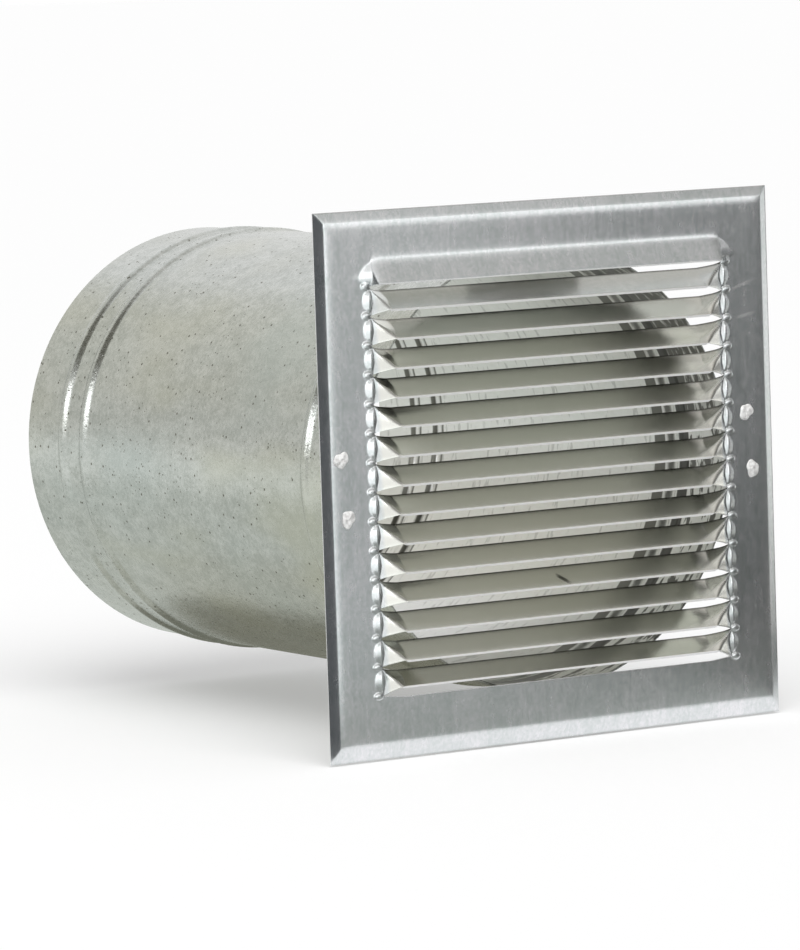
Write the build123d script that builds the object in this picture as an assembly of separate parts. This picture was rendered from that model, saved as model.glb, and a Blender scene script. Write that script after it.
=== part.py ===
# Louvred wall vent outlet: a pressed square grille riveted to a beaded round duct tube.
# Millimetres. +X is right seen from outdoors, +Y goes into the wall along the duct, +Z is up.
# The origin is the middle of the grille on the wall plane, where the rim's back edge meets the wall.
from build123d import *
import math
import os

# Duct tube, rolled from galvanised sheet
tube_diameter = 124.4
tube_wall = 0.6
tube_reach = 188.0
bead_width = 6.5
bead_crown_width = 2.2
bead_height = 0.9
end_bead_inset = 21.1
end_bead_spacing = 12.5
front_bead_depth = 28.8

# Rivets, and the ears of the tube that they hold
rivet_spacing = 16.2
rivet_offset = 5.2
rivet_lean = 1.7
rivet_radius = 1.5
rivet_clearance = 0.05
rivet_head_radius = 1.95
rivet_head_height = 0.45
ear_edge = 3.0
ear_corner = 1.2
ear_shift = -1.0
left_ear_z = -0.2
right_ear_z = 3.3
tongue_height = 16.4

# Grille sheet and its bent rim
grille_sheet = 0.8
rim_width = 3.0
lower_rim_width = 4.6
rim_drop = 1.2
rim_bend_radius = 2.5
rim_clearance = 0.6

# Louvres: slats twisted out of the sheet between level slits, under a bent hood strip
slit_pitch = 8.0
slit_kerf = 0.3
slit_end_gap = 2.3
slat_tilt = 48.0
slat_twist_length = 5.2
slat_clearance = 0.6
hood_height = 7.05
hood_tilt = 23.0
upper_border = 10.5
lower_border = 10.0

# Places worked out from the sizes above
tube_radius = tube_diameter / 2
bore_radius = tube_radius - tube_wall
rivet_x = tube_radius + rivet_offset
rivet_z = rivet_spacing / 2
ears = ((-1, left_ear_z), (1, right_ear_z))
ear_half_height = rivet_z + ear_edge
face_half_width = rivet_x + abs(ear_shift) + ear_edge + rim_clearance
plate_half = face_half_width + rim_width
face_top = plate_half - rim_width
face_bottom = lower_rim_width - plate_half
front_y = -rim_drop - grille_sheet
back_y = front_y + grille_sheet
middle_y = front_y + grille_sheet / 2
ear_back_y = back_y + tube_wall

tongue_top = max(abs(left_ear_z), abs(right_ear_z)) + tongue_height / 2
ear_root_x = math.sqrt(bore_radius**2 - tongue_top**2)
slit_half_length = ear_root_x - slit_end_gap
slat_half_length = slit_half_length - slat_twist_length
slat_half_height = (slit_pitch - slit_kerf) / 2
hood_top = face_top - upper_border
first_slit = hood_top - hood_height
slat_count = int((first_slit - face_bottom - lower_border) / slit_pitch)
last_slit = first_slit - slat_count * slit_pitch
tilt = math.radians(slat_tilt)
slat_inner_y = middle_y + slat_half_height * math.sin(tilt) + grille_sheet / 2 * math.cos(tilt)
tube_front_y = slat_inner_y + slat_clearance


def polygon(points):
    return make_face(Polyline(*points, close=True))


def bent_sheet():
    # The front face and four mitred rim strips, each given the sheet's thickness towards the wall.
    x, rim_y = face_half_width, front_y + rim_drop
    inner = [(-x, front_y, face_bottom), (x, front_y, face_bottom), (x, front_y, face_top), (-x, front_y, face_top)]
    outer = [(math.copysign(plate_half, px), rim_y, math.copysign(plate_half, pz)) for px, _, pz in inner]
    faces = [polygon(inner)]
    for here, there in ((0, 1), (1, 2), (2, 3), (3, 0)):
        faces.append(polygon([inner[here], inner[there], outer[there], outer[here]]))
    sheet = Part() + [extrude(face, grille_sheet, dir=(0, 1, 0)) for face in faces]
    front = sheet.faces().filter_by(Axis.Y).sort_by(Axis.Y)[0]
    return fillet(front.edges(), rim_bend_radius)


def slat_section(x, z, angle):
    # The sheet between two slits, turned about its middle: lower edge outward, upper edge inward.
    corners = []
    for side, edge in ((-1, -1), (-1, 1), (1, 1), (1, -1)):
        dy, dz = side * grille_sheet / 2, edge * slat_half_height
        turned_y = dy * math.cos(angle) + dz * math.sin(angle)
        turned_z = dz * math.cos(angle) - dy * math.sin(angle)
        corners.append((x, middle_y + turned_y, z + turned_z))
    return corners


def hood_section(x, angle):
    # The strip above the first slit, bent outward from its upper line.
    drop = (hood_height - slit_kerf / 2) * math.cos(angle)
    reach = (hood_height - slit_kerf / 2) * math.sin(angle)
    lower = hood_top - drop
    return [(x, front_y - reach, lower), (x, front_y, hood_top), (x, back_y, hood_top), (x, back_y - reach, lower)]


def formed_end(flat, formed):
    # Each side between the flat and the formed section folds along the line from its upper flat corner
    # to its lower formed corner, which leaves the triangle that closes a louvre's end.
    faces = []
    for lower, upper in ((0, 1), (1, 2), (3, 2), (0, 3)):
        faces.append(polygon([flat[lower], flat[upper], formed[lower]]))
        faces.append(polygon([flat[upper], formed[upper], formed[lower]]))
    return faces + [polygon(flat)]


def formed_strip(section, angle):
    # Flat at both ends, where it stays joined to the sheet, and formed between.
    left, right = section(-slat_half_length, angle), section(slat_half_length, angle)
    faces = [polygon([left[k - 1], left[k], right[k], right[k - 1]]) for k in range(4)]
    faces += formed_end(section(-slit_half_length, 0), left) + formed_end(section(slit_half_length, 0), right)
    return Solid(Shell(faces))


def rivet_places():
    # A pair at each ear; the upper rivet of a pair stands a little to the left of the lower one.
    places = []
    for side, ear_z in ears:
        for end in (-1, 1):
            places.append((side * rivet_x + ear_shift - end * rivet_lean / 2, ear_z + end * rivet_z))
    return places


def rivet_holes():
    hole = Cylinder(rivet_radius + rivet_clearance, 4 * (grille_sheet + tube_wall), rotation=(90, 0, 0))
    return [Pos(x, back_y, z) * hole for x, z in rivet_places()]


def grille_plate():
    window_height = hood_top - last_slit + slit_kerf / 2
    window = Box(2 * slit_half_length, 4 * grille_sheet, window_height)
    plate = bent_sheet() - Pos(0, middle_y, hood_top - window_height / 2) * window
    strips = [formed_strip(hood_section, math.radians(hood_tilt))]
    for slat in range(slat_count):
        z = first_slit - (slat + 0.5) * slit_pitch
        strips.append(formed_strip(lambda x, angle: slat_section(x, z, angle), tilt))
    return plate + strips - rivet_holes()


def wall_outline(radius, beads):
    # The tube wall's line along the duct, with a flat-crowned bead rolled out at each stated place.
    points = [(radius, tube_front_y)]
    for bead in beads:
        points += [(radius, bead - bead_width / 2), (radius + bead_height, bead - bead_crown_width / 2)]
        points += [(radius + bead_height, bead + bead_crown_width / 2), (radius, bead + bead_width / 2)]
    return points + [(radius, tube_reach)]


def ear(side, ear_z):
    # A tongue of the tube wall runs forward to the grille and turns outward as a flange against its back.
    tongue_length = tube_front_y - back_y
    ring = Cylinder(tube_radius, tongue_length) - Cylinder(bore_radius, 2 * tongue_length)
    ring = Pos(0, back_y + tongue_length / 2, 0) * Rot(90, 0, 0) * ring
    block = Box(tube_radius, 2 * tongue_length, tongue_height)
    tongue = ring & Pos(side * tube_radius, back_y + tongue_length / 2, ear_z) * block
    tip_x = rivet_x + side * ear_shift + ear_edge
    flange = Box(tip_x - ear_root_x, tube_wall, 2 * ear_half_height)
    flange = Pos(side * (ear_root_x + tip_x) / 2, back_y + tube_wall / 2, ear_z) * flange
    corners = flange.edges().filter_by(Axis.Y).sort_by(SortBy.DISTANCE)[-2:]
    flange = fillet(corners, ear_corner)
    return tongue + (flange - Rot(90, 0, 0) * Cylinder(bore_radius, 4 * tongue_length))


def duct_tube():
    beads = [front_bead_depth, tube_reach - end_bead_inset - end_bead_spacing, tube_reach - end_bead_inset]
    outside, inside = wall_outline(tube_radius, beads), wall_outline(bore_radius, beads)
    shell = revolve(polygon(outside + inside[::-1]), Axis.Y)
    return shell + [ear(side, ear_z) for side, ear_z in ears] - rivet_holes()


def rivet_head(face_y, side):
    # A shallow round cap on one outer face, swelling towards the stated side.
    ball = (rivet_head_radius**2 + rivet_head_height**2) / (2 * rivet_head_height)
    sphere = Pos(0, face_y + side * (rivet_head_height - ball), 0) * Sphere(ball)
    return sphere & Pos(0, face_y + side * ball, 0) * Box(4 * ball, 2 * ball, 4 * ball)


def rivets():
    shank_length = ear_back_y - front_y
    shank = Pos(0, front_y + shank_length / 2, 0) * Rot(90, 0, 0) * Cylinder(rivet_radius, shank_length)
    rivet = shank + [rivet_head(front_y, -1), rivet_head(ear_back_y, 1)]
    return Compound([Pos(x, 0, z) * rivet for x, z in rivet_places()])


os.makedirs("parts", exist_ok=True)
for node in (grille_plate, duct_tube, rivets):
    export_step(node(), f"parts/{node.__name__}.step")
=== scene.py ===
import math
from functools import partial

import bmesh
import bpy
import numpy as np
from mathutils import Matrix, Vector


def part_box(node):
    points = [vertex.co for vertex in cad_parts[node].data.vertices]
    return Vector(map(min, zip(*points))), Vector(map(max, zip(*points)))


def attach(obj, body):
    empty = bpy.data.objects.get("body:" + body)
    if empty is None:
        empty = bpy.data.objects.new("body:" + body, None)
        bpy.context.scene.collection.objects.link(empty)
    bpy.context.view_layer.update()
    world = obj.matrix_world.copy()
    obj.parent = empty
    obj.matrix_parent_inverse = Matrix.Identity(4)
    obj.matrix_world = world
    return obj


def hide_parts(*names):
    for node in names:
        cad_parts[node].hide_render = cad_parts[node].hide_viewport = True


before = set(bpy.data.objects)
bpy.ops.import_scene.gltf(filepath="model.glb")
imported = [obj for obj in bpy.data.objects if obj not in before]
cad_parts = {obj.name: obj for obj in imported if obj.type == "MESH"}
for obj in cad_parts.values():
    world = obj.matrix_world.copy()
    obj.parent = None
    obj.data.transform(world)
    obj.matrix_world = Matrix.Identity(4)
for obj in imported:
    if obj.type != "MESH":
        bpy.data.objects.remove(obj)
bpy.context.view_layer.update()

mm = 0.001
rng = np.random.default_rng(11)  # every uneven detail is drawn from this one source
scene = bpy.context.scene
print("frame loaded:", sorted(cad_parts))

# Sizes that the frame gives, in millimetres
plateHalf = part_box("grille_plate")[1][0] / mm
tubeHigh = np.array(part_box("duct_tube")[1]) / mm


# Mesh building

def gridFaces(rows, cols, wrapRows=False, wrapCols=False, start=0):
    # quads of a grid of points, row by row; a wrapped side joins its last line to its first
    i, j = np.meshgrid(np.arange(rows - (not wrapRows)), np.arange(cols - (not wrapCols)), indexing="ij")
    nextI, nextJ = (i + 1) % rows, (j + 1) % cols
    quads = np.stack([i * cols + j, nextI * cols + j, nextI * cols + nextJ, i * cols + nextJ], -1)
    return quads.reshape(-1, 4) + start


def meshFromGrids(name, grids, outward=False, marks=None):
    # grids: points in millimetres (rows x cols x 3), wrapRows, wrapCols; marks: named values of the points
    points, faces, count = [], [], 0
    for grid, wrapRows, wrapCols in grids:
        rows, cols = grid.shape[:2]
        points.append(grid.reshape(-1, 3))
        faces.append(gridFaces(rows, cols, wrapRows, wrapCols, count))
        count += rows * cols
    mesh = bpy.data.meshes.new(name)
    mesh.from_pydata((np.concatenate(points) * mm).tolist(), [], np.concatenate(faces).tolist())
    for key, values in (marks or {}).items():
        mesh.attributes.new(key, "FLOAT", "POINT").data.foreach_set("value", np.concatenate(values))
    work = bmesh.new()
    work.from_mesh(mesh)
    bmesh.ops.remove_doubles(work, verts=work.verts, dist=1e-7)  # joins grids where they meet
    if outward:
        bmesh.ops.recalc_face_normals(work, faces=work.faces)
    work.to_mesh(mesh)
    work.free()
    return mesh


def addPiece(name, mesh, node, finishes, sharpAngle=35, modifiers=()):
    # modifiers: (type, settings); their result becomes the mesh, so that sharp edges can be marked on it
    for finish in finishes:
        mesh.materials.append(bpy.data.materials.new(finish))
    obj = bpy.data.objects.new(name, mesh)
    scene.collection.objects.link(obj)
    for kind, settings in modifiers:
        modifier = obj.modifiers.new(kind.lower(), kind)
        for key, value in settings.items():
            setattr(modifier, key, value)
    if modifiers:
        bpy.context.view_layer.update()
        obj.data = bpy.data.meshes.new_from_object(obj.evaluated_get(bpy.context.evaluated_depsgraph_get()))
        obj.modifiers.clear()
    obj.data.name = name
    obj.data.shade_smooth()
    obj.data.set_sharp_from_angle(angle=math.radians(sharpAngle))
    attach(obj, "root")
    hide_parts(node)
    print("piece", name, "triangles", sum(len(p.vertices) - 2 for p in obj.data.polygons))
    return obj


def spaced(places, counts):
    # rising or falling values from place to place, with a stated number of steps between each two
    runs = [np.linspace(a, b, n + 1)[:-1] for a, b, n in zip(places, places[1:], counts)]
    return np.concatenate([*runs, places[-1:]])


def softRamp(d, rounding):
    # zero before 0 and slope one after it, with a rounded bend between
    return 0.5 * (d + np.sqrt(d * d + rounding * rounding))


# Grille: one flat sheet, slit level and pressed; each flat point is carried to its formed place

grille = {
    "frontY": -2.0,
    "sheet": 0.8,
    "edgeRound": 0.16,
    "rimWidth": 3.0,
    "lowerRimWidth": 4.6,
    "rimDrop": 1.2,
    "rimBend": 0.16,  # roundness of the bend, as a share of the rim's width
    "slitHalf": 58.2,
    "pitch": 8.0,
    "firstSlit": 54.45,
    "slats": 14,
    "kerf": 0.3,
    "tilt": 51.0,
    "twist": 6.6,
    "twistSpread": 0.12,  # the folds' lengths vary by this share
    "firstTwist": 4.8,  # the first slat's left end is folded more tightly
    "kerfOpen": 4,  # a slit is fully open after a quarter of the fold
    "twistCurve": 0.5,  # below 1 the upper edge turns in sooner than the lower edge turns out
    "creaseBow": 0.7,  # between its ends the crease that closes a slat bows inward
    "fold": 0.45,  # softness of the fold that closes a louvre's end
    "hoodTop": 61.5,
    "hoodTilt": 23.0,
    "hoodRound": 0.8,
    "hoodBend": 1.1,
    "hoodEnd": 1.3,
    "hoodBulge": 4.2,  # beside the hood's steep ends the sheet swells, past the slit's ends
    "hoodFlank": 0.2,
    "hoodRise": 0.3,  # the share of the strip's height in which the swelling grows to its width
    "hoodCorner": 3.5,  # how far the bend line falls towards the outside of each swelling
    "hoodCornerLength": 8,  # it falls over this length, half of it on each side of the slit's end
    "lastTrim": 1.3,  # the lowest slit is wider: cut from the last slat and from the border below it
    "borderTrim": 0.7,
    "borderFade": 3,  # the cut fades out this far below the border's edge
    "swellWidth": 3.4,  # the sheet swells outward beside each louvre's end
    "swellHeight": 0.68,
    "swellCrest": 0.36,  # place of the crest, as a share of the swelling's width
    "swellSpan": 0.36,  # half the swelling's length, as a share of the pitch
    "swellSoft": 0.05,  # roundness of the crest
    "pipX": 59.7,
    "pipLength": 1.55,
    "pipWidth": 1.05,
    "pipHeight": 0.42,
    "pipShape": 0.6,
    "darkEdge": 0.85,  # width of the painted shade line along each slat's upper edge
    "darkEnd": 0.3,  # half width of the painted shade line at the slits' ends
    # strength of that line: distances below a slit, strengths
    "leftEnd": ((0, 0.5, 1.2, 3.2, 4.6, 8), (1, 0.8, 0.2, 0.2, 1, 1)),
    "rightEnd": ((0, 0.5, 1.2, 5.5, 6.5, 8), (0.6, 0.3, 1, 1, 0.3, 0.6)),
    "creaseLine": 0.5,  # half width of the painted dark reflection along the fold
    "creaseFade": 12,  # it fades in and out over a twelfth of the fold
    "leftCrease": 0.8,
    "rightCrease": 1.0,
    "firstSlatReflection": 0.5,  # the first slat takes less of the slats' painted yellowish reflection, as painted shade under the hood
}


def rimFall(x, z):
    # fall of the bent rim: the larger of the shares of the side and the upper or lower strip gone past
    g = grille
    side = (np.abs(x) - plateHalf + g["rimWidth"]) / g["rimWidth"]
    upper = (z - plateHalf + g["rimWidth"]) / g["rimWidth"]
    lower = (g["lowerRimWidth"] - plateHalf - z) / g["lowerRimWidth"]
    return g["rimDrop"] * softRamp(np.maximum(side, np.maximum(upper, lower)), g["rimBend"])


def endMarks(x, z):
    # beside each louvre's end the sheet swells in a half oval: it rises from the slit's end to a crest and
    # falls to the oval's edge; the pips are oval domes at the slits' ends
    g = grille
    place = (g["firstSlit"] - z) / g["pitch"]
    across = np.clip((place - np.floor(place) - 0.5) / g["swellSpan"], -1, 1)
    width = np.sqrt(1 - across ** 2) * ((place > 0) & (place < g["slats"]))
    bow = g["creaseBow"] * np.sin(np.pi * np.clip(place, 0, g["slats"])) ** 2
    out = (np.abs(x) - g["slitHalf"] + bow) / (g["swellWidth"] * np.maximum(width, 0.01))
    rising, falling = out / g["swellCrest"], (1 - out) / (1 - g["swellCrest"])
    rise = np.maximum(0.5 * (rising + falling - np.sqrt((rising - falling) ** 2 + g["swellSoft"])), 0)
    nearest = np.clip(np.round(place), 0, g["slats"])
    away = ((np.abs(x) - g["pipX"]) / g["pipLength"]) ** 2
    away = away + ((place - nearest) * g["pitch"] / g["pipWidth"]) ** 2
    pip = g["pipHeight"] * np.clip(1 - away, 0, 1) ** g["pipShape"]
    return g["swellHeight"] * width * rise + pip


def hoodShape(x, z):
    # the strip above the first slit leaves the sheet along a rounded line: the lesser of the bend's outward
    # slope and its closed end, which is a swelling past the slit's end and then a steep wall
    g = grille
    slope = math.tan(math.radians(g["hoodTilt"]))
    reach = (g["hoodTop"] - g["firstSlit"]) * slope
    inside = g["slitHalf"] - np.abs(x)
    corner = g["hoodCorner"] * np.clip(0.5 - inside / g["hoodCornerLength"], 0, 1) ** 2
    bend = slope * softRamp(g["hoodTop"] - z - corner, g["hoodBend"])
    up = np.clip((z - g["firstSlit"]) / (g["hoodTop"] - g["firstSlit"]), 0, 1)
    bulge = g["hoodBulge"] * np.sin(np.pi / 2 * np.clip(up / g["hoodRise"], 0, 1))
    end = np.maximum(np.maximum(g["hoodFlank"] * (inside + bulge), reach / g["hoodEnd"] * inside), 0)
    least = 0.5 * (bend + end - np.sqrt((bend - end) ** 2 + g["hoodRound"] ** 2 * up))
    out = np.maximum(least, 0)
    return -out, z + out * math.tan(math.radians(g["hoodTilt"] / 2))


def slatShape(x, z, centre, twist, trim):
    # a slat turned about its middle, lower edge outward; at each end the sheet folds along the line from
    # the slit's end above to the slat's lower corner, so the surface is the inner one of two planes;
    # the third result is 1 along that fold and falls off beside it
    g = grille
    tilt = math.radians(g["tilt"])
    up = (z - centre) / g["pitch"] + 0.5
    crease = g["slitHalf"] - g["creaseBow"] * np.sin(np.pi * up) ** 2
    s = np.clip((crease - np.abs(x)) / np.where(x < 0, twist[0], twist[1]), 0, 1)
    soon = s ** g["twistCurve"]
    up = up + trim / g["pitch"] * (1 - up) * s
    half = (g["pitch"] - g["kerf"] * np.clip(g["kerfOpen"] * s, 0, 1)) / 2
    v = (2 * up - 1) * half
    deep = half * math.sin(tilt)
    triangle = -s * deep
    plane = soon * deep - 2 * deep * (1 - up)
    gap = plane - triangle
    root = np.sqrt(gap * gap + (4 * g["fold"] * s * (1 - s)) ** 2 + 1e-12)
    share = 0.5 * (1 + gap / root)
    ends = np.clip(g["creaseFade"] * s, 0, 1) * np.clip(g["creaseFade"] * (1 - s), 0, 1)
    fold = np.clip(1 - np.abs(gap) / g["creaseLine"], 0, 1) * ends
    triangleZ = v + s * half * (1 - math.cos(tilt))
    planeZ = half * (1 - soon) + half * math.cos(tilt) * (soon - 2 + 2 * up)
    return 0.5 * (triangle + plane + root), centre + triangleZ * (1 - share) + planeZ * share, fold


def formedStrip(columns, rows, shape):
    # a strip of the flat sheet: its own shape, then the rim's fall and the marks at the slits' ends
    x, z = np.meshgrid(columns, rows)
    y, newZ = shape(x, z)[:2]
    y = grille["frontY"] + y + rimFall(x, z) - endMarks(x, z)
    return np.stack([x, y, newZ], -1), False, False


def borderShape(x, z):
    # flat; its upper edge is trimmed between the slit's ends
    g = grille
    along = np.clip((g["slitHalf"] - np.abs(x)) / g["twist"], 0, 1)
    near = np.clip(1 - (z.max() - z) / g["borderFade"], 0, 1)
    return np.zeros_like(x), z - g["borderTrim"] * along * near


def slatMarks(x, below, fold, first):
    # painted shade at a slat's upper edge and at the slits' ends, and a painted dark reflection along the
    # fold, whichever is most; and the share of the slats' painted yellowish reflection, which starts inside
    # the slit's end
    g = grille
    past = np.abs(x) - g["slitHalf"]
    wave = np.sin(np.pi * below / g["pitch"]) ** 2
    edge = np.clip(1 - below / g["darkEdge"], 0, 1) * (past < 0)
    end = np.clip(1 - np.abs(past + g["creaseBow"] * wave) / g["darkEnd"], 0, 1)
    end = end * np.where(x < 0, np.interp(below, *g["leftEnd"]), np.interp(below, *g["rightEnd"]))
    line = np.where(x < 0, g["leftCrease"], g["rightCrease"]) * fold
    tint = np.clip(-past - 1, 0, 1) * (g["firstSlatReflection"] if first else 1)
    return np.maximum(np.maximum(edge, end), line).ravel(), tint.ravel()


def grilleSheet():
    # columns and rows of the flat sheet stand closer where it bends
    g = grille
    faceTop, lastSlit = plateHalf - g["rimWidth"], g["firstSlit"] - g["slats"] * g["pitch"]
    faceBottom = g["lowerRimWidth"] - plateHalf
    beside, within = g["slitHalf"] + 3.6, g["slitHalf"] - 1.2
    straight = g["slitHalf"] - 1.14 * g["twist"]
    bendAbove, bendBelow, rimStart = g["hoodTop"] + 2, g["hoodTop"] - 1.4, faceBottom + 0.8
    half = spaced([plateHalf, faceTop, beside, g["slitHalf"], within, straight, 0], [7, 5, 18, 6, 16, 3])
    columns = np.concatenate([-half, half[-2::-1]])
    nearSlit = np.array([0, 0.25, 0.5, 0.75, 1.0, 1.3, 1.6])
    midSlat = [2.15, 2.75, 3.4, 4, 4.6, 5.25, 5.85]
    acrossSlat = np.concatenate([nearSlit, midSlat, g["pitch"] - nearSlit[::-1]])
    aboveSlit, belowSlit = g["firstSlit"] + nearSlit[::-1], lastSlit - nearSlit
    upper = spaced([plateHalf, faceTop, bendAbove, bendBelow, aboveSlit[0]], [7, 4, 10, 7])
    upper = np.concatenate([upper, aboveSlit[1:]])
    lower = np.concatenate([belowSlit[:-1], spaced([belowSlit[-1], rimStart, -plateHalf], [4, 11])])
    strips = [formedStrip(columns, upper, hoodShape)]
    plain = np.zeros(len(columns) * len(upper))
    dark, slats = [plain], [plain]
    for slat in range(g["slats"]):
        top = g["firstSlit"] - slat * g["pitch"]
        twist = g["twist"] * (1 + g["twistSpread"] * rng.uniform(-1, 1, 2))
        twist[0] = twist[0] if slat else g["firstTwist"]
        trim = g["lastTrim"] if slat == g["slats"] - 1 else 0
        shape = partial(slatShape, centre=top - g["pitch"] / 2, twist=twist, trim=trim)
        strips.append(formedStrip(columns, top - acrossSlat, shape))
        x, below = np.meshgrid(columns, acrossSlat)
        # each slat's painted shade and its share of the painted yellowish reflection
        darkness, tint = slatMarks(x, below, shape(x, top - below)[2], slat == 0)
        dark.append(darkness)
        slats.append(tint)
    strips.append(formedStrip(columns, lower, borderShape))
    dark.append(np.zeros(len(columns) * len(lower)))
    slats.append(dark[-1])
    mesh = meshFromGrids("grilleSheet", strips, marks={"dark": dark, "slats": slats})
    solid = ("SOLIDIFY", {"thickness": g["sheet"] * mm, "offset": -1, "material_offset_rim": 1})
    soft = ("BEVEL", {"width": g["edgeRound"] * mm, "segments": 2, "limit_method": "ANGLE",
                      "angle_limit": math.radians(50)})
    finishes = ("rolledSheet", "cutEdge")
    return addPiece("grilleSheet", mesh, "grille_plate", finishes, modifiers=(solid, soft))


# Duct tube: the wall's outline carried round the duct, and two ears

tube = {
    "wall": 0.6,
    "frontY": 2.13,
    "beadWidth": 6.5,
    "beadHeight": 0.9,
    "beads": (28.8, 154.4, 166.9),
    "lipRound": 0.2,
    "lipFlat": 0.12,  # half width of the flat that is left on each end of the wall
    "turns": 180,
    "ears": ((-1, -0.2, 71.4), (1, 3.3, 69.4)),  # side, height of the middle, outer edge
    "earHalf": 11.1,
    "earRoot": 60.52,
    "earBack": -1.2,
    "earBend": 1.0,
    "earCorner": 1.2,
    "tongueHalf": 8.2,
    "tongueGrip": 0.5,  # length of the tongue that is sunk into the tube's wall
}
tubeReach = tubeHigh[1]
tubeRadius = tubeHigh[2] - tube["beadHeight"]


def beadRise(y):
    # each bead is one hump of a raised cosine, so that its feet run softly into the wall
    steps = [np.clip(np.abs(y - bead) / (tube["beadWidth"] / 2), 0, 1) for bead in tube["beads"]]
    return tube["beadHeight"] * sum(0.5 + 0.5 * np.cos(np.pi * step) for step in steps)


def ductTube():
    # the wall's outline, out along the outside and back along the inside, turned round the duct's line
    t = tube
    dense = [np.linspace(bead - t["beadWidth"] / 2, bead + t["beadWidth"] / 2, 17) for bead in t["beads"]]
    plain = np.linspace(t["frontY"] + t["lipRound"], tubeReach - t["lipRound"], 24)
    y = np.unique(np.concatenate([plain, *dense]).round(4))
    rise = beadRise(y)
    outer, inner = tubeRadius + rise, tubeRadius - t["wall"] + rise
    middle = tubeRadius - t["wall"] / 2
    lip = np.array([middle + t["lipFlat"], middle - t["lipFlat"]])
    radius = np.concatenate([outer, lip, inner[::-1], lip[::-1]])
    along = np.concatenate([y, [tubeReach, tubeReach], y[::-1], [t["frontY"], t["frontY"]]])
    angle = np.linspace(0, 2 * np.pi, t["turns"], endpoint=False)[:, None]
    body = np.stack([radius * np.cos(angle), along + 0 * angle, radius * np.sin(angle)], -1)
    grids = [(body, True, True), *(ear(*place) for place in t["ears"])]
    mesh = meshFromGrids("ductTube", grids, outward=True)
    obj = addPiece("ductTube", mesh, "duct_tube", ("galvanised", "ductInside"))
    # faces turned towards the duct's line get the inner finish, zinc painted brighter than the outside's as
    # painted light
    centres, normals = np.empty(3 * len(mesh.polygons)), np.empty(3 * len(mesh.polygons))
    mesh.polygons.foreach_get("center", centres)
    mesh.polygons.foreach_get("normal", normals)
    inward = (centres * normals).reshape(-1, 3)[:, [0, 2]].sum(1) < -1e-6
    mesh.polygons.foreach_set("material_index", inward.astype(np.int32))
    return obj


def ear(side, middle, tip):
    # the tongue's outline runs forward from the tube's edge, round a bend and outward along the grille's
    # back; above and below the tongue only the flange goes on, to round corners and closed ends
    t = tube
    corner, bore, midWall = t["earCorner"], tubeRadius - t["wall"], tubeRadius - t["wall"] / 2
    wing = np.concatenate([np.linspace(-t["earHalf"], corner - t["earHalf"], 7), [-t["tongueHalf"]]])
    tongue = np.linspace(-t["tongueHalf"], t["tongueHalf"], 11)
    z = np.concatenate([wing, tongue, -wing[::-1]])[:, None]
    onTongue = np.concatenate([wing > 0, np.full(len(tongue), True), wing > 0])[:, None]
    inCorner = np.clip(np.abs(z) - t["earHalf"] + corner, 0, corner)
    tipX = tip - corner + np.sqrt(corner ** 2 - inCorner ** 2)
    turn = np.linspace(0, np.pi / 2, 7)[None, :]
    level, z = 0 * z, middle + z
    grip = np.sqrt(midWall ** 2 - z ** 2)
    wingRoot = np.maximum(t["earRoot"], np.sqrt(bore ** 2 - z ** 2))
    walls = []
    for radius, bend, flangeY in ((tubeRadius, t["earBend"] - t["wall"] / 2, t["earBack"] + t["wall"]),
                                  (bore, t["earBend"] + t["wall"] / 2, t["earBack"])):
        root = np.sqrt(radius ** 2 - z ** 2)
        x = np.concatenate([grip, root, root, root + bend * (1 - np.cos(turn)), tipX], 1)
        stops = (t["frontY"] + t["tongueGrip"], t["frontY"], flangeY + bend,
                 flangeY + bend * (1 - np.sin(turn)), flangeY)
        y = np.concatenate([level + stop for stop in stops], 1)
        flat = np.concatenate([np.repeat(wingRoot, x.shape[1] - 1, 1), tipX], 1)
        x, y = np.where(onTongue, x, flat), np.where(onTongue, y, flangeY)
        walls.append(np.stack([side * x, y, z + 0 * x], -1))
    ring = np.concatenate([walls[0], walls[1][:, ::-1]], 1)
    closed = (ring[[0, -1]] + ring[[0, -1], ::-1]) / 2
    return np.concatenate([closed[:1], ring, closed[1:]]), False, True


# Rivets: a lumpy hammered head in front, a shank, and a plain set head behind

rivet = {
    "pairs": ((-68.4, -0.2), (66.4, 3.3)),
    "spread": 8.1,
    "lean": 0.85,  # the upper rivet of a pair stands to the left, the lower one to the right
    "headRadius": 2.25,
    "headHeight": 0.45,
    "shankRadius": 1.5,
    "frontY": -2.0,
    "backY": -0.6,
    "lumps": 0.2,
    "waves": ((2, 0.6), (3, 0.4), (5, 0.3)),  # waves round the head's edge: turns, share
    "dents": 3,
    "dentDepth": 0.25,
}


def rivetSurface(x, z):
    # the outline is turned round the rivet's own line; the front head's edge and height wander in waves
    r = rivet
    swing = np.linspace(0, np.pi / 2, 8)
    headR, headY = r["headRadius"] * np.sin(swing), r["headHeight"] * np.cos(swing)
    radius = np.concatenate([headR, [r["shankRadius"], r["shankRadius"]], headR[::-1]])
    along = np.concatenate([r["frontY"] - headY, [r["frontY"], r["backY"]], (r["backY"] + headY)[::-1]])
    turn = np.linspace(0, 2 * np.pi, 28, endpoint=False)[:, None]
    phase = rng.uniform(0, 2 * np.pi, 4)
    front = (along < r["frontY"] + 1e-6) & (radius > 0)
    wave = sum(share * np.sin(turns * turn + shift) for (turns, share), shift in zip(r["waves"], phase))
    radius = radius * (1 + r["lumps"] * wave * front)
    dent = np.sin(r["dents"] * turn + phase[3]) * np.sin(np.pi * radius / r["headRadius"]) * front
    y = along + r["dentDepth"] * r["headHeight"] * dent
    return np.stack([x + radius * np.cos(turn), y, z + radius * np.sin(turn)], -1), True, False


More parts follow.
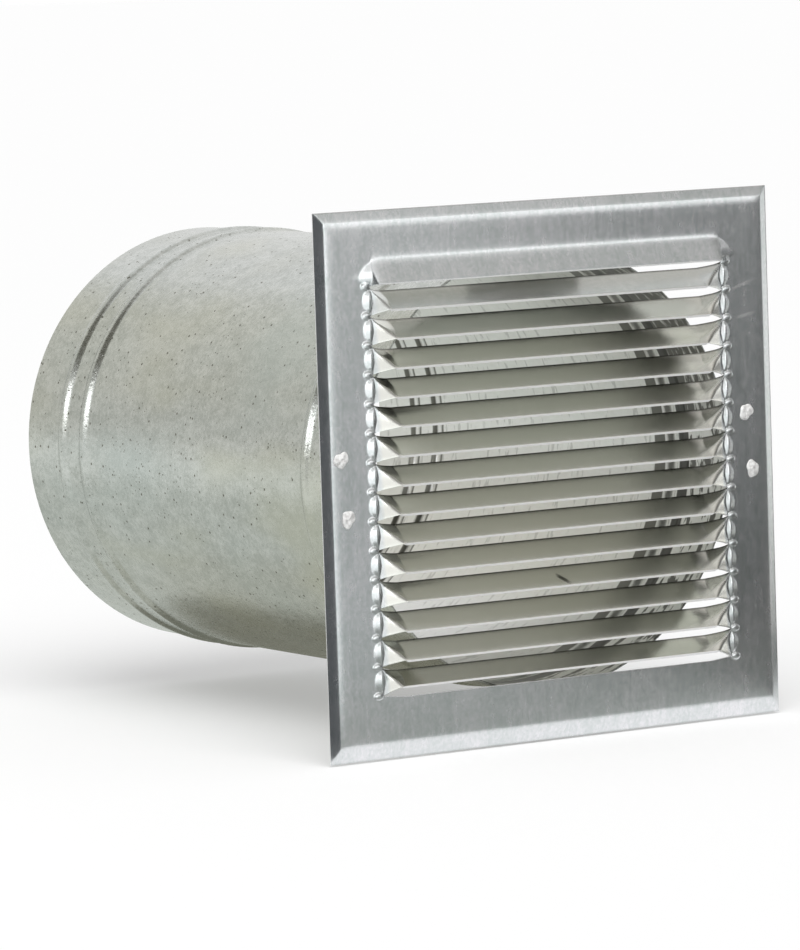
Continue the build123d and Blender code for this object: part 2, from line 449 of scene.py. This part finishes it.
def rivets():
    r = rivet
    ends = [(x, z, end) for x, z in r["pairs"] for end in (-1, 1)]
    surfaces = [rivetSurface(x - end * r["lean"], z + end * r["spread"]) for x, z, end in ends]
    mesh = meshFromGrids("rivetHeads", surfaces, outward=True)
    return addPiece("rivetHeads", mesh, "rivets", ("hammeredMetal",))


grilleSheet()
ductTube()
rivets()


# Finishes: a small wrapper lets shader maths read as plain expressions

class Value:
    def __init__(self, finish, socket):
        self.finish, self.socket = finish, socket

    def maths(self, operation, first, second):
        return self.finish.node("ShaderNodeMath", {"operation": operation}, {0: first, 1: second})

    def __add__(self, other):
        return self.maths("ADD", self, other)

    def __sub__(self, other):
        return self.maths("SUBTRACT", self, other)

    def __rsub__(self, other):
        return self.maths("SUBTRACT", other, self)

    def __mul__(self, other):
        return self.maths("MULTIPLY", self, other)

    def __gt__(self, other):
        return self.maths("GREATER_THAN", self, other)

    __radd__, __rmul__ = __add__, __mul__


class Finish:
    def __init__(self, owner):
        owner.use_nodes = True
        self.tree = owner.node_tree
        self.tree.nodes.clear()

    def node(self, kind, settings=None, inputs=None, output=0):
        made = self.tree.nodes.new(kind)
        for key, value in (settings or {}).items():
            setattr(made, key, value)
        for key, value in (inputs or {}).items():
            if isinstance(value, Value):
                self.tree.links.new(value.socket, made.inputs[key])
            else:
                made.inputs[key].default_value = value
        return Value(self, made.outputs[output]) if made.outputs else made

    def axes(self):
        return [self.node("ShaderNodeSeparateXYZ", {}, {0: self.place()}, axis) for axis in range(3)]

    def place(self, scale=(1, 1, 1)):
        coords = self.node("ShaderNodeTexCoord", output="Object")
        return self.node("ShaderNodeMapping", {}, {"Vector": coords, "Scale": scale})

    def noise(self, scale, stretch=(1, 1, 1), detail=4, rough=0.55):
        values = {"Vector": self.place(stretch), "Scale": scale, "Detail": detail, "Roughness": rough}
        return self.node("ShaderNodeTexNoise", {}, values)

    def smooth(self, value, low, high):
        # 0 below low, 1 above high, eased between
        values = {"Value": value, "From Min": low, "From Max": high}
        return self.node("ShaderNodeMapRange", {"interpolation_type": "SMOOTHSTEP"}, values)

    def blend(self, share, first, second):
        return self.node("ShaderNodeMix", {"data_type": "RGBA"}, {0: share, 6: first, 7: second}, 2)

    def specks(self, scale, share, low, high):
        # round spots in some of the cells of an uneven net
        cells = {"Vector": self.place(), "Scale": scale, "Randomness": 1.0}
        distance, cellColour = (self.node("ShaderNodeTexVoronoi", {}, cells, output) for output in (0, 1))
        chosen = self.node("ShaderNodeSeparateColor", {}, {0: cellColour})
        return (1 - self.smooth(distance, low, high)) * (chosen > 1 - share)

    def scratch(self, start, end, width, frontY, lean=0):
        # a line on the sheet's front, from start to end in millimetres, that fades at both ends; the front
        # stands at frontY where the line starts, and lean is how far it goes inward for each millimetre up
        x, y, z = self.axes()
        length = math.dist(start, end)
        ux, uz = (end[0] - start[0]) / length, (end[1] - start[1]) / length
        dx, dz = x - start[0] * mm, z - start[1] * mm
        along, across = dx * ux + dz * uz, dz * ux - dx * uz
        rising = self.smooth(along, 0, 0.3 * length * mm)
        fading = 1 - self.smooth(along, 0.5 * length * mm, length * mm)
        front = 1 - self.smooth(y - dz * lean, (frontY + 0.25) * mm, (frontY + 0.55) * mm)
        return (1 - self.smooth(across * across, 0, (width * mm) ** 2)) * (rising * fading * front)

    def bump(self, height, strength, distance):
        values = {"Height": height, "Strength": strength, "Distance": distance}
        return self.node("ShaderNodeBump", {}, values)

    def attribute(self, name):
        return self.node("ShaderNodeAttribute", {"attribute_name": name}, {}, "Fac")

    def limit(self, value):
        return self.node("ShaderNodeClamp", {}, {"Value": value})

    def metal(self, values):
        shader = self.node("ShaderNodeBsdfPrincipled", {}, values)
        self.node("ShaderNodeOutputMaterial", {}, {"Surface": shader})


def rolledSheet():
    # mill-finish sheet: faint upright rolling streaks and cloudy smears; painted shade as dark lines along
    # the slats' upper edges and at the slits' ends, a painted dark reflection along the folds, and a
    # painted yellowish reflection on the slats
    dull, bright, slatReflection = (0.56, 0.60, 0.595, 1), (0.73, 0.735, 0.75, 1), (0.79, 0.785, 0.725, 1)
    paintedShade, scratched, nicked = (0.05, 0.05, 0.045, 1), (0.96, 0.96, 0.96, 1), (0.03, 0.03, 0.03, 1)
    f = Finish(bpy.data.materials["rolledSheet"])
    streaks = f.noise(1, (900, 200, 45), 2)
    clouds = f.noise(60, (1, 1, 0.5), 4)
    grime = f.noise(420, (1, 1, 0.6), 3)
    grain = f.noise(1300, (1, 1, 0.7), 2)
    share = 0.12 * streaks + 0.35 * clouds + 0.24 * grime + 0.29 * grain
    colour = f.blend(f.smooth(share, 0.34, 0.68), dull, bright)
    dark, slats = f.attribute("dark"), f.attribute("slats")
    # painted reflection: the slats are painted brighter and yellower, for light reflected from the duct's
    # inside
    colour = f.blend(0.8 * slats, colour, slatReflection)
    # painted shade: dark lines along the slats' upper edges and at the slits' ends, and a painted dark
    # reflection along the folds
    colour = f.blend(0.9 * dark, colour, paintedShade)
    # two light scratches on the right border and one dark nick on a slat
    face, lean = grille["frontY"], math.tan(math.radians(grille["tilt"]))
    scratches = f.scratch((60.6, 46.0), (70, 49.0), 0.7, face)
    scratches = scratches + f.scratch((61.8, 38.0), (71.5, 39.9), 0.7, face)
    nick = f.scratch((-0.8, -29.0), (3.2, -32.0), 0.75, -1.32, lean)
    colour = f.blend(0.65 * scratches, colour, scratched)
    colour = f.blend(0.85 * nick, colour, nicked)
    rough = 0.21 + 0.04 * streaks + 0.06 * grime - 0.03 * slats
    f.metal({"Base Color": colour, "Metallic": 1.0, "Roughness": rough})


def cutEdge():
    # freshly sheared, rough and bright
    f = Finish(bpy.data.materials["cutEdge"])
    f.metal({"Base Color": (0.95, 0.95, 0.95, 1), "Metallic": 0.3, "Roughness": 0.5})


def galvanised():
    # dull zinc: fine grain, faint clouds of olive and blue, dark specks that gather in patches
    dull, bright = (0.42, 0.44, 0.415, 1), (0.61, 0.625, 0.605, 1)
    olive, blue, speck = (0.51, 0.51, 0.42, 1), (0.49, 0.545, 0.54, 1), (0.10, 0.09, 0.065, 1)
    f = Finish(bpy.data.materials["galvanised"])
    grain = f.noise(900, (1, 1, 1), 3, 0.65)
    flakes = f.noise(330, (1, 0.6, 1), 3)
    clouds = f.noise(34, (1, 0.6, 1), 3)
    tint = f.noise(22, (0.8, 0.5, 1.3), 2)
    patches = f.smooth(f.noise(30, (1, 1, 1), 2), 0.36, 0.62)
    specks = f.specks(300, 0.8, 0.07, 0.15) + f.specks(620, 0.55, 0.09, 0.2) * patches
    tone = 0.45 * grain + 0.35 * flakes + 0.2 * clouds
    colour = f.blend(f.smooth(tone, 0.36, 0.66), dull, bright)
    colour = f.blend(0.6 * f.smooth(tint, 0.48, 0.7), colour, olive)
    colour = f.blend(0.4 * f.smooth(1 - tint, 0.5, 0.7), colour, blue)
    colour = f.blend(0.85 * specks, colour, speck)
    rough = 0.2 + 0.14 * tone + 0.2 * specks
    relief = tone - 0.4 * specks
    normal = f.bump(relief, 0.42, 0.0003)
    f.metal({"Base Color": colour, "Metallic": 0.94, "Roughness": rough, "Normal": normal})


def ductInside():
    # zinc painted brighter than the outside's, as painted light; dark rings beside the beads, and dark
    # ticks and, in the upper part, painted shade between the first ring and the grille
    dull, bright, ticksAndShade = (0.62, 0.625, 0.595, 1), (0.79, 0.79, 0.775, 1), (0.07, 0.07, 0.06, 1)
    f = Finish(bpy.data.materials["ductInside"])
    mottle = f.noise(700, (1, 0.4, 1), 4, 0.65)
    ticks = f.noise(420, (0.3, 1.2, 0.3), 3, 0.6)
    depth, height = f.axes()[1:]
    before = 1 - f.smooth(depth, 0.0206, 0.0262)
    # painted shade: the upper part of the wall before the first ring is darkened in mottled patches
    frontShade = before * f.smooth(height, 0.0, 0.03) * f.smooth(ticks, 0.34, 0.5)
    sparse = f.smooth(ticks, 0.5, 0.57) * before + 0.3 * f.smooth(ticks, 0.57, 0.63)
    colour = f.blend(mottle, dull, bright)
    colour = f.blend(0.9 * f.limit(frontShade + sparse), colour, ticksAndShade)
    # dark rings: start and end along the duct in millimetres, shade; the four on the far beads' flanks are
    # painted shade
    rings = ((20.9, 25.8, 0.03), (32.8, 38.1, 0.1), (151.2, 153, 0.12), (155.6, 157.4, 0.12),
             (163.8, 165.6, 0.12), (168, 169.8, 0.12))
    soft = 0.3
    for low, high, shade in rings:
        ring = f.smooth(depth, (low - soft) * mm, (low + soft) * mm)
        ring = ring * (1 - f.smooth(depth, (high - soft) * mm, (high + soft) * mm))
        colour = f.blend(0.93 * ring, colour, (shade, shade, 0.85 * shade, 1))
    f.metal({"Base Color": colour, "Metallic": 0.94, "Roughness": 0.26 + 0.12 * mottle})


def hammeredMetal():
    # bright metal with small uneven dents
    dull, bright = (0.70, 0.69, 0.68, 1), (0.95, 0.95, 0.94, 1)
    f = Finish(bpy.data.materials["hammeredMetal"])
    dents = f.noise(900, (1, 1, 1), 3)
    colour = f.blend(f.smooth(dents, 0.35, 0.6), dull, bright)
    rough, normal = 0.38 + 0.2 * dents, f.bump(dents, 0.7, 0.0004)
    f.metal({"Base Color": colour, "Metallic": 0.5, "Roughness": rough, "Normal": normal})


rolledSheet()
cutEdge()
galvanised()
ductInside()
hammeredMetal()
print("finishes made")

# View of the photograph: the camera stands to the left of the grille and a little above it
camera = {
    "azimuth": -32.05,  # degrees, to the left of straight on
    "elevation": 5.39,
    "roll": 1.89,
    "distance": 1.612,  # metres, as the aim is
    "aim": (-0.03545, 0.02216, -0.0002),
    "lens": 220.3,
    "clipEnd": 20,
}


def wayTo(azimuth, elevation):
    # unit vector from the origin; azimuth 0 is straight before the grille, and 90 is to its right
    az, el = math.radians(azimuth), math.radians(elevation)
    return Vector((math.sin(az) * math.cos(el), -math.cos(az) * math.cos(el), math.sin(el)))


def placeCamera():
    back = wayTo(camera["azimuth"], camera["elevation"])
    right = Vector((0, 0, 1)).cross(back).normalized()
    up = back.cross(right)
    across, along = math.sin(math.radians(camera["roll"])), math.cos(math.radians(camera["roll"]))
    right, up = right * along - up * across, up * along + right * across
    turn = Matrix((right, up, back)).transposed()
    data = bpy.data.cameras.new("camera")
    data.lens = camera["lens"]
    data.clip_end = camera["clipEnd"]
    obj = bpy.data.objects.new("camera", data)
    obj.matrix_world = Matrix.Translation(Vector(camera["aim"]) + back * camera["distance"]) @ turn.to_4x4()
    scene.collection.objects.link(obj)
    scene.camera = obj


placeCamera()
scene.view_settings.view_transform = "Standard"


# Studio, in metres: a pale floor, a white surround, soft lamps, and cards that show only in reflections

studio = {
    "floorZ": -plateHalf * mm - 0.0006,
    "floorSize": 40.0,
    "floorShade": 0.7,
    "floorGlow": 0.3,
    "surround": 0.5,
    "cardColumns": 40,
    # upright curved cards: name, azimuths in degrees, distance, heights, glow below and above, tint
    "cards": (
        ("room", (-70, 110), 2.4, (-0.07, 2.4), (0.65, 0.52), (1.0, 0.99, 0.98)),
        ("strip", (10, 46), 2.3, (0.32, 0.8), (1.7, 1.7), (1.0, 1.0, 1.0)),
        ("hoodLeft", (0, 40), 2.35, (0.9, 1.62), (1.05, 1.05), (1.0, 0.99, 0.98)),
        ("hoodRight", (40, 75), 2.35, (0.9, 1.62), (0.32, 0.32), (1.0, 1.0, 0.95)),
        ("rightFlag", (33, 73), 0.45, (-0.07, 0.11), (0.18, 0.2), (1.0, 1.0, 1.0)),
        ("rightCard", (69, 83), 2.3, (-0.07, 0.5), (1.25, 1.15), (1.0, 1.0, 1.0)),
        ("sideFlag", (83, 104), 2.0, (-0.07, 1.2), (0.12, 0.12), (1.0, 1.0, 1.0)),
        ("lowFlag", (104, 134), 0.3, (-0.07, 0.042), (0.1, 0.1), (1.0, 1.0, 1.0)),
        ("whiteCard", (-9, 14), 1.9, (-0.07, 0.5), (2.4, 2.4), (1.0, 1.0, 1.0)),
        ("leftCard", (-62, -9), 1.9, (-0.07, 0.7), (1.0, 1.0), (1.0, 1.0, 1.0)),
        ("endFlag", (-104, -66), 1.2, (-0.07, 0.35), (0.08, 0.08), (1.0, 1.0, 1.0)),
        ("beadFlag", (-138, -80), 1.0, (0.4, 2.3), (0.08, 0.05), (1.0, 0.88, 0.5)),
        ("backBand", (-180, -105), 2.4, (-0.07, 0.45), (0.75, 0.7), (1.0, 1.0, 0.94)),
        ("backUpper", (-180, -135), 2.4, (0.45, 2.2), (0.78, 0.9), (1.0, 0.99, 0.91)),
    ),
    # level cards: name, height, four corners, glow, tint
    "mats": (
        ("nearMat", -0.074, ((-0.3, -0.13), (0.1, -0.13), (-0.3, -0.012), (0.09, -0.012)),
         0.42, (0.97, 1.0, 0.96)),
        ("whiteMat", -0.074, ((-0.6, -1.7), (0.3, -1.7), (-0.6, -0.13), (-0.02, -0.13)),
         1.4, (0.97, 1.0, 1.0)),
        ("leftMat", -0.074, ((0.3, -1.7), (1.0, -1.7), (-0.02, -0.13), (0.07, -0.13)),
         0.55, (0.97, 1.0, 1.0)),
        ("rightMat", -0.074, ((1.0, -1.7), (1.9, -0.6), (0.07, -0.13), (0.2, -0.13)),
         0.07, (1.0, 1.0, 0.96)),
        ("sideNear", -0.074, ((0.1, -0.13), (0.25, -0.163), (0.09, -0.012), (0.25, -0.018)),
         0.2, (1.0, 1.0, 0.96)),
        ("sideMiddle", -0.074, ((0.25, -0.163), (0.6, -0.24), (0.25, -0.018), (0.6, -0.03)),
         0.7, (1.0, 1.0, 0.96)),
        ("sideFar", -0.074, ((0.6, -0.24), (1.9, -0.6), (0.6, -0.03), (1.9, -0.03)),
         1.5, (1.0, 1.0, 0.98)),
        ("sideDark", -0.074, ((0.14, -0.03), (1.9, -0.03), (0.14, 0.1), (1.9, 0.5)),
         0.12, (1.0, 1.0, 0.98)),
        ("backMat", -0.0745, ((-1.6, 0.02), (-0.25, 0.02), (-1.6, 2.5), (-0.25, 2.5)),
         1.05, (0.97, 1.0, 0.97)),
        ("tubeMat", -0.0745, ((-0.25, 0.02), (0.3, 0.02), (-0.25, 2.5), (0.3, 2.5)),
         0.76, (0.96, 1.0, 0.94)),
        ("shadeMat", -0.0742, ((-0.085, 0.02), (-0.045, 0.02), (-0.085, 0.2), (-0.045, 0.2)),
         0.66, (0.98, 1.0, 0.9)),
        # painted shade: a dark card for the shadow on the floor just behind the grille
        ("cornerShade", -0.0738, ((-0.075, 0.002), (0.075, 0.002), (-0.06, 0.035), (0.075, 0.035)),
         0.08, (1.0, 1.0, 0.85)),
        # painted shade: dark cards in the gap between the grille's back and the tube, above the tube
        ("hoodShade", 0.0625, ((-0.019, -0.001), (0.018, -0.001), (-0.019, 0.0021), (0.018, 0.0021)),
         0.18, (1.0, 1.0, 0.88)),
        ("hoodSideShade", 0.0625, ((-0.05, -0.001), (-0.019, -0.001), (-0.05, 0.0021), (-0.019, 0.0021)),
         0.42, (1.0, 1.0, 0.9)),
        ("footMat", -0.0753, ((-0.09, -0.012), (0.1, -0.012), (-0.09, -0.0015), (0.1, -0.0015)),
         1.2, (1.0, 0.985, 1.0)),
        # painted shade: a dark card for the shadow on the floor under the tube
        ("underShade", -0.074, ((-0.045, 0.02), (0.075, 0.02), (-0.045, 0.19), (0.075, 0.19)),
         0.26, (1.0, 1.0, 0.82)),
        ("ceiling", 2.0, ((-1.6, -2.0), (2.2, -2.0), (-1.6, 1.2), (2.2, 1.2)),
         0.65, (1.0, 0.97, 0.93)),
    ),
    # an upright card close before the left rim
    "rimFlag": {"x": (-0.084, -0.0717), "y": -0.01, "z": (-0.08, 0.08),
                "glow": (0.12, 0.12), "tint": (0.92, 0.94, 1.0)},
    # name, azimuth and elevation in degrees, distance, width, height, watts
    "lamps": (
        ("leftLamp", -108, 14, 1.5, 0.5, 0.22, 2),
    ),
    "sun": {"azimuth": -25, "elevation": 52, "distance": 3, "strength": 1.9, "spread": 50},
}


def stageObject(name, points):
    mesh = meshFromGrids(name, [(points / mm, False, False)])
    mesh.materials.append(bpy.data.materials.new(name))
    obj = bpy.data.objects.new(name, mesh)
    scene.collection.objects.link(obj)
    return obj, Finish(mesh.materials[0])


def stageCard(name, points, glow, tint):
    # a card that shows only in reflections, out of the camera's view and with no shadow; its glow goes
    # from one level at its foot to another at its top
    obj, f = stageObject(name, points)
    obj.visible_camera = obj.visible_diffuse = obj.visible_shadow = obj.visible_transmission = False
    obj.active_material.cycles.emission_sampling = "NONE"
    foot, top = float(points[..., 2].min()), float(points[..., 2].max())
    low, high = ((*(level * part for part in tint), 1) for level in glow)
    colour = f.blend(f.smooth(f.axes()[2], foot, top + mm), low, high)
    light = f.node("ShaderNodeEmission", {}, {"Color": colour})
    f.node("ShaderNodeOutputMaterial", {}, {"Surface": light})


def seenRay(f):
    # 1 for what the camera sees, directly, in a reflection or through glass
    kinds = ("Is Camera Ray", "Is Glossy Ray", "Is Transmission Ray")
    return f.limit(sum(f.node("ShaderNodeLightPath", output=kind) for kind in kinds))


def addLamp(name, kind, way, distance, settings):
    data = bpy.data.lights.new(name, kind)
    for key, value in settings.items():
        setattr(data, key, value)
    lamp = bpy.data.objects.new(name, data)
    lamp.location = way * distance
    lamp.rotation_euler = way.to_track_quat("Z", "Y").to_euler()
    lamp.visible_camera = False
    scene.collection.objects.link(lamp)


def buildStudio():
    st = studio
    edge = st["floorSize"] / 2
    corners = np.array([[[-edge, -edge, st["floorZ"]], [edge, -edge, st["floorZ"]]],
                        [[-edge, edge, st["floorZ"]], [edge, edge, st["floorZ"]]]])
    f = stageObject("paleFloor", corners[::-1])[1]
    matte = f.node("ShaderNodeBsdfDiffuse", {}, {"Color": (st["floorShade"],) * 3 + (1,)})
    glow = f.node("ShaderNodeEmission", {}, {"Strength": st["floorGlow"] * seenRay(f)})
    both = f.node("ShaderNodeAddShader", {}, {0: matte, 1: glow})
    f.node("ShaderNodeOutputMaterial", {}, {"Surface": both})

    scene.world = bpy.data.worlds.new("surround")
    f = Finish(scene.world)
    strength = st["surround"] + (1 - st["surround"]) * seenRay(f)
    light = f.node("ShaderNodeBackground", {}, {"Color": (1, 1, 1, 1), "Strength": strength})
    f.node("ShaderNodeOutputWorld", {}, {"Surface": light})

    for name, azimuths, radius, heights, glow, tint in st["cards"]:
        turn = np.radians(np.linspace(*azimuths, st["cardColumns"]))[None, :]
        up = np.array(heights)[:, None]
        x, y = radius * np.sin(turn), -radius * np.cos(turn)
        stageCard(name, np.stack(np.broadcast_arrays(x, y, up), -1), glow, tint)
    for name, level, corners, glow, tint in st["mats"]:
        mat = np.insert(np.array(corners), 2, level, axis=1)
        stageCard(name, mat.reshape(2, 2, 3), (glow, glow), tint)
    flag = st["rimFlag"]
    x, z = np.meshgrid(flag["x"], flag["z"])
    stageCard("rimFlag", np.stack([x, 0 * x + flag["y"], z], -1), flag["glow"], flag["tint"])

    for name, azimuth, elevation, distance, width, height, watts in st["lamps"]:
        settings = {"shape": "RECTANGLE", "size": width, "size_y": height, "energy": watts}
        addLamp(name, "AREA", wayTo(azimuth, elevation), distance, settings)
    sun = st["sun"]
    settings = {"energy": sun["strength"], "angle": math.radians(sun["spread"])}
    addLamp("softSun", "SUN", wayTo(sun["azimuth"], sun["elevation"]), sun["distance"], settings)


buildStudio()
print("studio ready")
